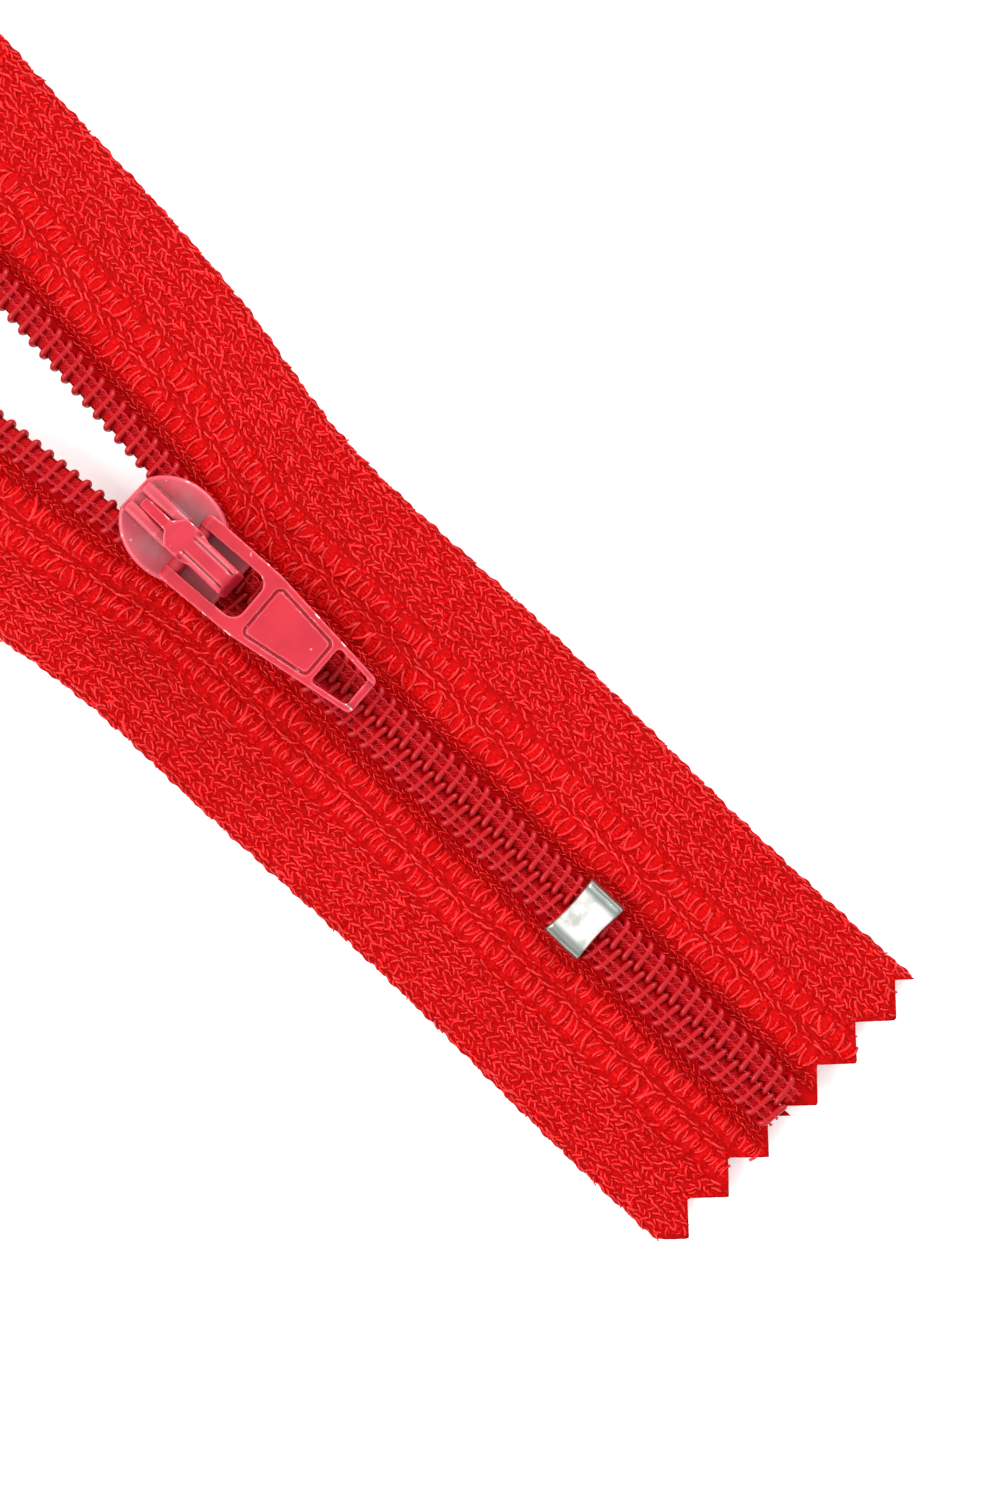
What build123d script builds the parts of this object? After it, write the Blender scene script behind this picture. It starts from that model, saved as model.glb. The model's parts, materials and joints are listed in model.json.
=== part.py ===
from build123d import *

import os
from math import atan2, ceil, cos, degrees, floor, radians, sin, tan

# Closed-end coil zipper, partly open, with an auto-lock slider and a die-cast pull.
#
# Frame: X across the zipper, Y along the chain towards the open end, Z up from the table it
# lies on. The origin is under the middle of the whole zipper. x values of a stringer are
# measured outwards from the chain's centre line, and side is +1 on the right, -1 on the left.

os.makedirs("parts", exist_ok=True)

# ---- driving dimensions, mm and degrees -------------------------------------------------
chain_length = 100.0        # middle of the bottom stop to the foot of the top stops
tape_below = 20.6           # tape past the middle of the bottom stop
tape_above = 21.0           # tape past the foot of the top stops
half_width = 12.65          # centre line to a tape's outer edge, chain closed
tape_recess = 0.35          # centre line to a tape's inner edge, chain closed
tape_thickness = 0.55
tape_fall_start = 4.3       # the tape leaves the slider's height here
tape_fall_end = 8.8         # and lies on the table from here out
pink_pitch = 3.95           # zigzag cut of the tape ends
pink_depth = 2.0
pink_first_right = 1.76     # first tip from the centre line
pink_first_left = 3.15
pink_spare = 0.10           # no corner this near a tape edge

pitch = 1.11                # coil turns
wire = 0.50                 # coil monofilament
wire_corner = 0.225
coil_height = 1.50
coil_width = 2.32
head_cross = 0.22           # how far a head reaches past the centre line
tail_web = 0.30             # the turns hang together at their tails
coil_cut = 1.20             # tape past the cut end of the coils
cord_room_corner = 0.20
cord_width = 0.95
cord_height = 0.40
cord_corner = 0.18
thread = 0.20
thread_gap = 0.01
inner_row = 0.72            # stitch rows over one coil
outer_row = 1.45
bend_radius = 8.0           # of the soft lines where the chain parts

half_angle = 5.05           # of the open stringers
mouth_gap = 2.70            # between the coils at the slider's mouth
turns_closed = 30.75        # pitches between the stop and the lock pin
parting_lead = 1.20         # closed chain inside the slider's rear end

slider_length = 9.25
shoulder_radius = 3.43
shoulder_reach = 4.05       # the blades are rounder than a circle towards the mouth
shoulder_to_mouth = 3.72
rear_width = 5.30
lower_blade = 0.80
upper_blade = 0.90
blade_edge = 0.25           # rounding of the blades' edges
running = 0.12              # slider to chain, all round
tape_slot_play = 0.10       # flange to tape
channel_overrun = 0.80       # Y channel past both ends of the body
post_tip = 0.45             # share of the parting stretch before the post begins
post_front_inset = 0.35
post_nose = 0.40
post_nose_narrowing = 0.45
sink = 0.10                 # parts of one casting run into each other by this

cheek_inner = 0.43
cheek_outer = 1.32
cheek_rear = 5.00           # from the slider's rear end, as are the next lengths
cheek_front = 8.95
cheek_height = 1.76
cheek_nose = 0.50
cheek_round = 0.30          # of its top edges
cheek_top_front = 6.07
lug_inner = 0.43
lug_thickness = 0.30
lug_rear = 1.45
lug_front = 2.85
lug_height = 1.10
axle_from_rear = 3.70
pin_from_rear = 0.85
lock_hole_width = 0.90
lock_hole_length = 1.30

crown_sheet = 0.45
crown_hex_width = 2.46
crown_channel_width = 2.10
crown_tongue_width = 0.80
crown_flange = 0.30
crown_flange_rear = 0.30
crown_flange_rear_top = 0.45
crown_hex_rear = 3.60
crown_hex_front = 5.10
crown_tongue_root = 5.77
crown_tongue_tip = 8.20
crown_channel_front = 3.00
crown_rear_top = 0.35
crown_rear_foot = -0.10
crown_front_bend = 0.80     # bend radii of the sheet
crown_rear_bend = 0.50
crown_edge = 0.20
crown_seat = 0.02           # crimped crown to its lugs and blade

strip_sheet = 0.25          # lock spring
strip_width = 0.74
strip_foot_from_rear = 5.95
strip_to_axle = 0.05
strip_bends = (0.30, 0.30, 0.20, 0.20)
strip_fall = 0.60           # from the axle, where it turns down
strip_low = 0.75            # above the blade, on its way to the pin
strip_low_run = 0.50
lift_room = 0.30
pin_tip = 0.15
pin_bite = 0.05             # below the tops of the coils
pin_root = 0.40

tab_length = 15.60          # axle to tip
tab_thickness = 1.20
tab_root_width = 5.64
tab_bend_width = 5.40
tab_tip_width = 3.00
tab_bend = 5.90             # from the axle, as are the next lengths
window_width = 3.60
window_end = 5.55
window_corner = 0.90
tab_corner = 0.50
panel_start = 6.30
panel_end = 11.70
panel_rim = 0.50
panel_groove = 0.20
panel_depth = 0.16
panel_corner = 0.50
hole_start = 12.10
hole_end = 15.00
hole_rim = 0.42
hole_corner = 0.30
tip_bar_drop = 0.30
tip_bar_reach = 0.20        # into the hole
axle_radius = 0.55
axle_play = 0.20
axle_bury = 0.40            # axle ends inside the legs
tab_skew = 3.0              # it lies a little askew over the chain
tab_cross = 3.50            # from the axle to where it crosses the centre line
tab_dip = 2.5               # below level, tip resting over the chain

stop_length = 3.20
stop_width = 4.90
stop_wall = 0.50
stop_side_wall = 0.28
stop_corner = 0.90
stop_edge = 0.20
stop_prong_gap = 0.60
stop_play = 0.03

top_stop_length = 2.60
top_stop_reach = 2.10
top_stop_lip = 0.06         # each stays this far from the centre line
top_stop_height = 2.30
top_stop_corner = 0.45
top_stop_rise = 0.50         # its middle above the tape's
seam_gap = 0.02             # where a lower stretch meets an upper one
spare = 4.0                 # cutting shapes reach past what they cut

# ---- levels --------------------------------------------------------------------------
tape_z = lower_blade + running + thread + thread_gap
tape_top = tape_z + tape_thickness
coil_top = tape_top + coil_height
upper_blade_z = coil_top + thread_gap + thread + running
blade_top = upper_blade_z + upper_blade
axle_z = blade_top + axle_play + tab_thickness / 2
strip_z = axle_z + axle_radius + strip_to_axle
crown_z = strip_z + strip_sheet + lift_room
crown_top = crown_z + crown_sheet

# ---- stations along the chain, first from the bottom stop, then from the origin -------------
coil_outer = coil_width - head_cross
rear_up = turns_closed * pitch - pin_from_rear
mouth_up = rear_up + slider_length
parting = mouth_gap / 2 + head_cross
pivot_up = mouth_up - parting / tan(radians(half_angle))
open_tip = (
    pivot_up
    + (chain_length + tape_above - pivot_up) * cos(radians(half_angle))
    - tape_recess * sin(radians(half_angle))
)
stop_y = (tape_below - open_tip) / 2
rear_y = stop_y + rear_up
mouth_y = stop_y + mouth_up
pivot_y = stop_y + pivot_up
part_start = rear_y + parting_lead
bottom_y = stop_y - tape_below
top_y = stop_y + chain_length + tape_above
coil_bottom = bottom_y + coil_cut
top_stop_y = stop_y + chain_length
shoulder_y = mouth_y - shoulder_to_mouth
axle_y = rear_y + axle_from_rear
pin_y = rear_y + pin_from_rear

SIDES = {"left": -1, "right": 1}


def spread(side, x, y):
    """Plan place of a point of the closed chain after the slider has parted the stringers."""
    rise = min(max((y - part_start) / (mouth_y - part_start), 0.0), 1.0)
    turn = radians(half_angle) * rise * rise * (3 - 2 * rise)
    along = y - pivot_y
    return side * (x * cos(turn) + along * sin(turn)), pivot_y + along * cos(turn) - x * sin(turn)


def open_plane(side, along=0.0):
    """Plan plane of an open stringer: its x and y are the closed chain's, from the pivot."""
    turn = radians(half_angle)
    return Plane(
        origin=(side * along * sin(turn), pivot_y + along * cos(turn), 0),
        x_dir=(cos(turn), -side * sin(turn), 0),
        z_dir=(0, 0, 1),
    )


def open_section(side, along):
    """Plane across an open stringer, facing towards the top end."""
    turn = radians(half_angle)
    flat = open_plane(side, along)
    return Plane(origin=flat.origin, x_dir=-flat.x_dir, z_dir=(side * sin(turn), cos(turn), 0))


def pinked(x, first, end, sign):
    """Zigzag edge of a tape end at x."""
    wave = abs(((x - first) / pink_pitch + 0.5) % 1 - 0.5) * 2
    return end + sign * pink_depth * wave


def pinked_edge(first, end, sign):
    """Corners of the zigzag from the inner to the outer tape edge."""
    reach = 2 * ceil(half_width / pink_pitch)
    steps = [first + pink_pitch * step / 2 for step in range(-reach, reach)]
    inside = [x for x in steps if tape_recess + pink_spare < x < half_width - pink_spare]
    return [(x, pinked(x, first, end, sign)) for x in [tape_recess, *inside, half_width]]


def parted_line(side, x, start, end=mouth_y):
    """Plan points of a line at x from start to end, through the slider's Y channel."""
    reach = mouth_y - part_start
    stations = [start, *[part_start + reach * share for share in (0, 1 / 3, 2 / 3)], end]
    return [spread(side, x, y) for y in stations]


def write(piece, name):
    piece.part.label = name
    export_step(piece.part, f"parts/{name}.step")


def tape_profile(sign):
    """Cross-section of one tape: level under the coil, then down to the table."""
    shelf = [(tape_recess, tape_z), (tape_fall_start, tape_z), (tape_fall_end, 0)]
    shelf.append((half_width + spare, 0))
    under = [(sign * x, z) for x, z in shelf]
    over = [(sign * x, z + tape_thickness) for x, z in reversed(shelf)]
    with BuildLine() as outline:
        Polyline(*under, *over, close=True)
    make_face(outline.edges())


# ---- tapes ---------------------------------------------------------------------------
# Woven tape, level where the slider runs and lying on the table along its outer half.
# The lower stretch is closed and flares through the slider; the upper one is open.
for name, side in SIDES.items():
    first = pink_first_right if side > 0 else pink_first_left
    with BuildPart() as tape_lower:
        with BuildSketch() as plan:
            inner = parted_line(side, tape_recess, stop_y)
            outer = parted_line(side, half_width, stop_y)
            edge = [(side * x, y) for x, y in pinked_edge(first, bottom_y, 1)]
            with BuildLine():
                Polyline(*edge, *outer, *reversed(inner), close=True)
            make_face()
            slot_x = (stop_width - stop_side_wall) / 2
            with Locations((side * slot_x, stop_y)):
                Rectangle(
                    stop_side_wall + 2 * stop_play, stop_length + 2 * stop_play, mode=Mode.SUBTRACT
                )
        extrude(amount=tape_top)
        with BuildSketch(Plane.XZ.offset(-bottom_y + spare)):
            tape_profile(side)
        extrude(amount=-(mouth_y - bottom_y + 2 * spare), mode=Mode.INTERSECT)
    write(tape_lower, f"{name}_tape_lower")

    with BuildPart() as tape_upper:
        with BuildSketch(open_plane(side)):
            start = mouth_y - pivot_y + seam_gap
            edge = [(side * x, y) for x, y in pinked_edge(first, top_y - pivot_y, -1)]
            with BuildLine():
                Polyline(
                    (side * tape_recess, start), *edge, (side * half_width, start), close=True
                )
            make_face()
        extrude(amount=tape_top)
        with BuildSketch(open_section(side, mouth_y - pivot_y - spare)):
            tape_profile(-side)
        extrude(amount=top_y - mouth_y + 2 * spare, mode=Mode.INTERSECT)
    write(tape_upper, f"{name}_tape_upper")


# ---- bands that run with a stringer -----------------------------------------------------
def band(side, x, z, start, section, mode=Mode.ADD):
    """Sweep a small section along the closed and flaring stretch."""
    points = [(px, py, z) for px, py in parted_line(side, x, start)]
    with BuildLine() as line:
        FilletPolyline(*points, radius=bend_radius)
    run = line.wires()[0]
    with BuildSketch(Plane(origin=run @ 0, x_dir=(1, 0, 0), z_dir=(0, 1, 0))) as end:
        section()
    sweep(end.sketch, path=run, mode=mode)


def open_band(side, x, z, section, start=mouth_y + seam_gap, mode=Mode.ADD):
    """Extrude a small section along the open stretch."""
    with BuildSketch(open_section(side, start - pivot_y)) as end:
        with Locations((-side * x, z)):
            section()
    extrude(end.sketch, amount=top_stop_y - seam_gap - start, mode=mode)


# ---- coils ---------------------------------------------------------------------------
# Monofilament wound into flat turns that stand side by side and hang together at their
# tails. The right coil stands half a pitch ahead, so the heads mesh over the centre line.
turn_x = coil_width / 2 - head_cross
tail_x = coil_outer - tail_web / 2


def turn_places(side, first, count):
    """Plan places of the turns of one stretch, each turned with its stringer."""
    places = []
    for turn in range(count):
        y = first + turn * pitch
        near, far = spread(side, 0, y), spread(side, turn_x, y)
        heading = degrees(atan2(side * (far[1] - near[1]), side * (far[0] - near[0])))
        places.append(Location((*far, 0), heading))
    return places


def cord_room():
    RectangleRounded(coil_width - 2 * wire, coil_height - 2 * wire, cord_room_corner)


below_turns = floor((stop_y - coil_bottom) / pitch)
for name, side in SIDES.items():
    first_lower = stop_y - below_turns * pitch + (pitch / 2 if side > 0 else 0)
    lower_turns = floor((mouth_y - wire / 2 - first_lower) / pitch) + 1
    last_lower = first_lower + (lower_turns - 1) * pitch
    first_upper = last_lower + pitch
    upper_turns = floor((top_stop_y - wire / 2 - seam_gap - first_upper) / pitch) + 1
    with BuildPart() as coil_lower:
        with BuildSketch(Plane.XY.offset(tape_top)):
            with Locations(*turn_places(side, first_lower, lower_turns)):
                RectangleRounded(coil_width, wire, wire_corner)
            near = parted_line(side, coil_outer - tail_web, first_lower, last_lower)
            far = parted_line(side, coil_outer, first_lower, last_lower)
            with BuildLine():
                Polyline(*near, *reversed(far), close=True)
            make_face()
        extrude(amount=coil_height)
        band(side, turn_x, tape_top + coil_height / 2, first_lower - pitch, cord_room, Mode.SUBTRACT)
    write(coil_lower, f"{name}_coil_lower")

    with BuildPart() as coil_upper:
        with BuildSketch(open_plane(side).offset(tape_top)):
            start = first_upper - pivot_y
            length = (upper_turns - 1) * pitch
            with Locations((side * turn_x, start + length / 2)):
                with GridLocations(0, pitch, 1, upper_turns):
                    RectangleRounded(coil_width, wire, wire_corner)
            with Locations((side * tail_x, start + length / 2)):
                Rectangle(tail_web, length)
        extrude(amount=coil_height)
        middle_z = tape_top + coil_height / 2
        open_band(side, turn_x, middle_z, cord_room, mouth_y - pitch, Mode.SUBTRACT)
    write(coil_upper, f"{name}_coil_upper")


# ---- core cords and stitching ----------------------------------------------------------
# A flat cord lies inside each coil, and two rows of chain stitch hold coil and cord to the
# tape: a thread over the coil and one under the tape in each row.
def cord_section():
    RectangleRounded(cord_width, cord_height, cord_corner)


def thread_section():
    Circle(thread / 2)


cord_z = tape_top + coil_height / 2
thread_reach = thread / 2 + thread_gap
thread_levels = (coil_top + thread_reach, tape_z - thread_reach)
for name, side in SIDES.items():
    with BuildPart() as cord_lower:
        band(side, turn_x, cord_z, coil_bottom, cord_section)
    write(cord_lower, f"{name}_core_cord_lower")
    with BuildPart() as cord_upper:
        open_band(side, turn_x, cord_z, cord_section)
    write(cord_upper, f"{name}_core_cord_upper")
    for row, x in (("inner", inner_row), ("outer", outer_row)):
        with BuildPart() as stitch_lower:
            for z in thread_levels:
                band(side, x, z, coil_bottom, thread_section)
        write(stitch_lower, f"{name}_{row}_stitching_lower")
        with BuildPart() as stitch_upper:
            for z in thread_levels:
                open_band(side, x, z, thread_section)
        write(stitch_upper, f"{name}_{row}_stitching_upper")


# ---- stops ---------------------------------------------------------------------------
# The bottom stop is a metal clip crimped round both coils, its sides through the tapes.
stop_z = tape_z - thread_gap - thread - stop_play - stop_wall
stop_top = coil_top + thread_gap + thread + stop_play + stop_wall
with BuildPart() as bottom_stop:
    with BuildSketch(Plane.XZ.offset(-(stop_y - stop_length / 2))):
        with Locations((0, (stop_z + stop_top) / 2)):
            RectangleRounded(stop_width, stop_top - stop_z, stop_corner)
            RectangleRounded(
                stop_width - 2 * stop_side_wall,
                stop_top - stop_z - 2 * stop_wall,
                stop_corner - stop_wall,
                mode=Mode.SUBTRACT,
            )
        with Locations((0, stop_z)):
            Rectangle(stop_prong_gap, 3 * stop_wall, mode=Mode.SUBTRACT)
    extrude(amount=-stop_length)
    outside = bottom_stop.faces().sort_by(Axis.Z)[-1].edges().filter_by(Axis.X)
    fillet(outside, radius=stop_edge)
write(bottom_stop, "bottom_stop")

# Each top stop is a small metal clip closed on a tape's edge just past the end of the coil.
for name, side in SIDES.items():
    with BuildPart() as top_stop:
        with BuildSketch(open_section(side, top_stop_y - pivot_y)):
            middle = (top_stop_reach + top_stop_lip) / 2
            with Locations((-side * middle, tape_z + tape_thickness / 2 + top_stop_rise)):
                RectangleRounded(
                    top_stop_reach - top_stop_lip, top_stop_height, top_stop_corner
                )
            with Locations((-side * (tape_recess - stop_play), tape_z - stop_play)):
                slot_align = (Align.MAX if side > 0 else Align.MIN, Align.MIN)
                Rectangle(
                    top_stop_reach, tape_thickness + 2 * stop_play, align=slot_align,
                    mode=Mode.SUBTRACT,
                )
        extrude(amount=top_stop_length)
    write(top_stop, f"{name}_top_stop")


# ---- slider --------------------------------------------------------------------------
# Die-cast body: two blades joined by a post at the mouth, flanges that hold the coils in a
# Y-shaped channel, cheeks and lugs on top for the crown, and a hole for the lock pin.
def blade_outline():
    with Locations((0, shoulder_y)):
        Ellipse(shoulder_radius, shoulder_reach)
    with Locations((0, mouth_y)):
        Rectangle(2 * shoulder_radius, spare, align=(Align.CENTER, Align.MIN), mode=Mode.SUBTRACT)
    with Locations((0, rear_y)):
        Rectangle(rear_width, shoulder_y - rear_y, align=(Align.CENTER, Align.MIN))


def channel_outline():
    """Room for both coils on their way through, from rear to mouth."""
    reach = slider_length + 2 * channel_overrun
    stations = [rear_y - channel_overrun + reach * step / 8 for step in range(9)]
    wall = [spread(1, coil_outer + running, y) for y in stations]
    with BuildLine() as outline:
        Polyline(*wall, *[(-x, y) for x, y in reversed(wall)], close=True)
    make_face(outline.edges())


def post_outline():
    """The diamond between the parting heads."""
    tip = part_start + post_tip * (mouth_y - part_start)
    back = mouth_y - post_front_inset
    stations = [tip + (back - post_nose - tip) * step / 4 for step in range(1, 5)]
    flank = [spread(1, -head_cross - running, y) for y in stations]
    nose = (flank[-1][0] - post_nose_narrowing, back)
    right = [*flank, nose]
    with BuildLine() as outline:
        Polyline((0, tip), *right, *[(-x, y) for x, y in reversed(right)], close=True)
    make_face(outline.edges())


with BuildPart() as slider_body:
    with BuildSketch():
        blade_outline()
    extrude(amount=lower_blade)
    fillet(slider_body.faces().sort_by(Axis.Z)[0].edges(), radius=blade_edge)
    with BuildSketch(Plane.XY.offset(upper_blade_z)):
        blade_outline()
    extrude(amount=upper_blade)
    fillet(slider_body.faces().sort_by(Axis.Z)[-1].edges(), radius=blade_edge)
    with BuildSketch(Plane.XY.offset(tape_top + tape_slot_play)):
        blade_outline()
    extrude(amount=upper_blade_z - tape_top - tape_slot_play)
    with BuildSketch(Plane.XY.offset(tape_top)):
        channel_outline()
    extrude(amount=upper_blade_z - tape_top, mode=Mode.SUBTRACT)
    with BuildSketch(Plane.XY.offset(lower_blade)):
        blade_outline()
    extrude(amount=tape_z - tape_slot_play - lower_blade)
    with BuildSketch(Plane.XY.offset(lower_blade)):
        channel_outline()
    extrude(amount=tape_z - lower_blade, mode=Mode.SUBTRACT)
    with BuildSketch(Plane.XY.offset(lower_blade)):
        post_outline()
    extrude(amount=upper_blade_z - lower_blade)
    for side in SIDES.values():
        start = min(side * cheek_inner, side * cheek_outer)
        with BuildSketch(Plane.YZ.offset(start)):
            with BuildLine():
                Polyline(
                    (rear_y + cheek_rear, blade_top - sink),
                    (rear_y + cheek_rear, blade_top + cheek_height),
                    (rear_y + cheek_top_front, blade_top + cheek_height),
                    (rear_y + cheek_front, blade_top + cheek_nose),
                    (rear_y + cheek_front, blade_top - sink),
                    close=True,
                )
            make_face()
        extrude(amount=cheek_outer - cheek_inner)
        lug_start = min(side * lug_inner, side * (lug_inner + lug_thickness))
        with BuildSketch(Plane.YZ.offset(lug_start)):
            with Locations(((lug_rear + lug_front) / 2 + rear_y, blade_top + (lug_height - sink) / 2)):
                Rectangle(lug_front - lug_rear, lug_height + sink)
        extrude(amount=lug_thickness)
    cheek_tops = slider_body.edges().filter_by(
        lambda edge: edge.center().Z > blade_top + cheek_nose + sink
        and cheek_inner - sink < abs(edge.center().X) < cheek_outer + sink
        and edge.center().Y > rear_y + cheek_rear + sink
        and edge.length > cheek_round
        and abs(edge.tangent_at(0.5).X) < sink
    )
    fillet(cheek_tops, radius=cheek_round)
    with BuildSketch(Plane.XY.offset(upper_blade_z - sink)):
        with Locations((0, pin_y)):
            Rectangle(lock_hole_width, lock_hole_length)
    extrude(amount=upper_blade + 2 * sink, mode=Mode.SUBTRACT)
write(slider_body, "slider_body")


# ---- crown ---------------------------------------------------------------------------
# Stamped cap: a tongue down between the cheeks, a flat over the pull's axle, and a channel
# over the lugs that ends above the lock hole.
half_sheet = crown_sheet / 2
with BuildPart() as crown_cap:
    with BuildSketch(Plane.YZ.offset(-crown_hex_width)):
        with BuildLine() as sheet_line:
            FilletPolyline(
                (rear_y + crown_tongue_tip, blade_top + crown_seat + half_sheet),
                (rear_y + crown_tongue_root, crown_z + half_sheet),
                (rear_y + crown_rear_top, crown_z + half_sheet),
                (rear_y + crown_rear_foot, blade_top + crown_seat + half_sheet),
                radius=[crown_front_bend, crown_rear_bend],
            )
        trace(line_width=crown_sheet)
    extrude(amount=2 * crown_hex_width)
    with BuildSketch() as crown_plan:
        half_tongue, half_hex = crown_tongue_width / 2, crown_hex_width / 2
        half_channel = crown_channel_width / 2
        right = [
            (half_tongue, rear_y + crown_tongue_tip + spare),
            (half_tongue, rear_y + crown_tongue_root),
            (half_hex, rear_y + crown_hex_front),
            (half_hex, rear_y + crown_hex_rear),
            (half_channel, rear_y + crown_channel_front),
            (half_channel, rear_y - spare),
        ]
        with BuildLine():
            Polyline(*right, *[(-x, y) for x, y in reversed(right)], close=True)
        make_face()
    extrude(amount=crown_top + spare, mode=Mode.INTERSECT)
    for side in SIDES.values():
        start = min(side * half_channel, side * (half_channel - crown_flange))
        with BuildSketch(Plane.YZ.offset(start)):
            with BuildLine():
                Polyline(
                    (rear_y + crown_flange_rear, blade_top + crown_seat),
                    (rear_y + crown_channel_front, blade_top + crown_seat),
                    (rear_y + crown_channel_front, crown_z + half_sheet),
                    (rear_y + crown_flange_rear_top, crown_z + half_sheet),
                    close=True,
                )
            make_face()
        extrude(amount=crown_flange)
    channel_edges = (
        crown_cap.edges().filter_by(Axis.Y).group_by(Axis.Z)[-1]
        .filter_by(lambda edge: abs(abs(edge.center().X) - half_channel) < sink)
    )
    fillet(channel_edges, radius=crown_edge)
write(crown_cap, "crown_cap")


# ---- lock spring -----------------------------------------------------------------------
# Thin strip standing on a foot between the cheeks; it passes over the axle and turns down
# through the lock hole, where its pin stands between two heads of the chain.
half_strip = strip_sheet / 2
foot_y = rear_y + strip_foot_from_rear - half_strip
with BuildPart() as lock_spring:
    with BuildSketch(Plane.YZ.offset(-strip_width / 2)):
        with BuildLine():
            FilletPolyline(
                (foot_y, blade_top + crown_seat),
                (foot_y, strip_z + half_strip),
                (axle_y - strip_fall, strip_z + half_strip),
                (pin_y + strip_low_run, blade_top + strip_low),
                (pin_y, blade_top + strip_low),
                (pin_y, coil_top + pin_tip),
                radius=strip_bends,
            )
        trace(line_width=strip_sheet)
    extrude(amount=strip_width)
    with BuildSketch(Plane.YZ.offset(-pin_tip)):
        with Locations((pin_y, coil_top + pin_tip - pin_bite)):
            Circle(pin_tip)
        with Locations((pin_y, coil_top + pin_tip - pin_bite)):
            Rectangle(2 * pin_tip, pin_root, align=(Align.CENTER, Align.MIN))
    extrude(amount=2 * pin_tip)
write(lock_spring, "lock_spring")


# ---- pull tab --------------------------------------------------------------------------
# Die-cast pull: two legs joined by a round axle, a window that passes round the crown, a
# sunk panel, a tapered hole and a low bar between the corner bosses at the tip.
skew, dip = radians(tab_skew), radians(tab_dip)
axle_x = -tab_cross * tan(skew)
tab_plane = Plane(
    origin=(axle_x, axle_y, axle_z),
    x_dir=(cos(skew), sin(skew), 0),
    z_dir=(sin(skew) * sin(dip), -cos(skew) * sin(dip), cos(dip)),
)
# In this plane x runs along the axle and y from the tip towards the axle.


def tab_half_width(along):
    """Half width of the tab at a distance from the axle."""
    root, bend, tip = tab_root_width / 2, tab_bend_width / 2, tab_tip_width / 2
    if along < tab_bend:
        return root + (bend - root) * along / tab_bend
    return bend + (tip - bend) * (along - tab_bend) / (tab_length - tab_bend)


def trapezoid(start, end, rim, corner, mode=Mode.ADD):
    """Opening with sides parallel to the tab's, between two distances from the axle."""
    wide, narrow = tab_half_width(start) - rim, tab_half_width(end) - rim
    with BuildLine() as outline:
        FilletPolyline(
            (-wide, -start), (wide, -start), (narrow, -end), (-narrow, -end),
            radius=corner, close=True,
        )
    make_face(outline.edges(), mode=mode)


def panel_ring():
    """Groove round the panel."""
    trapezoid(panel_start, panel_end, panel_rim, panel_corner)
    trapezoid(
        panel_start + panel_groove, panel_end - panel_groove,
        panel_rim + panel_groove, panel_corner - panel_groove, Mode.SUBTRACT,
    )


def tip_bar():
    with Locations((0, -tab_length)):
        Rectangle(tab_tip_width - 2 * hole_rim, 2 * (tab_length - hole_end + tip_bar_reach))


with BuildPart() as pull_tab:
    with BuildSketch(tab_plane.offset(-tab_thickness / 2)) as tab_plan:
        end_y = -tab_length
        root_y = tab_thickness / 2
        half_root, half_bend = tab_root_width / 2, tab_bend_width / 2
        half_tip = tab_tip_width / 2
        window_root = root_y + spare
        with BuildLine():
            FilletPolyline(
                (-half_root, root_y), (half_root, root_y), (half_bend, -tab_bend),
                (half_tip, end_y), (-half_tip, end_y), (-half_bend, -tab_bend),
                radius=tab_corner, close=True,
            )
        make_face()
        with BuildLine():
            FilletPolyline(
                (-window_width / 2, window_root), (-window_width / 2, -window_end),
                (window_width / 2, -window_end), (window_width / 2, window_root),
                radius=window_corner,
            )
            Line((window_width / 2, window_root), (-window_width / 2, window_root))
        make_face(mode=Mode.SUBTRACT)
        trapezoid(hole_start, hole_end, hole_rim, hole_corner, Mode.SUBTRACT)
    extrude(amount=tab_thickness)
    for depth, shape in ((panel_depth, panel_ring), (tip_bar_drop, tip_bar)):
        for level in (tab_thickness / 2 - depth, -tab_thickness / 2):
            with BuildSketch(tab_plane.offset(level)):
                shape()
            extrude(amount=depth, mode=Mode.SUBTRACT)
    across = Plane(
        origin=tab_plane.from_local_coords((-tab_root_width, 0, 0)),
        x_dir=tab_plane.y_dir,
        z_dir=tab_plane.x_dir,
    )
    with BuildSketch(across):
        Circle(root_y)
        Rectangle(2 * tab_length, tab_thickness, align=(Align.MAX, Align.CENTER))
    extrude(amount=2 * tab_root_width, mode=Mode.INTERSECT)
    axle_plane = Plane(
        origin=tab_plane.from_local_coords((-window_width / 2 - axle_bury, 0, 0)),
        z_dir=tab_plane.x_dir,
    )
    with BuildSketch(axle_plane):
        Circle(axle_radius)
    extrude(amount=window_width + 2 * axle_bury)
write(pull_tab, "pull_tab")
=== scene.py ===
"""A red closed-end coil zipper, partly open, lying on a pale table."""
import json
import math

import bpy
import numpy as np
from mathutils import Euler, Matrix, Vector


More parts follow.
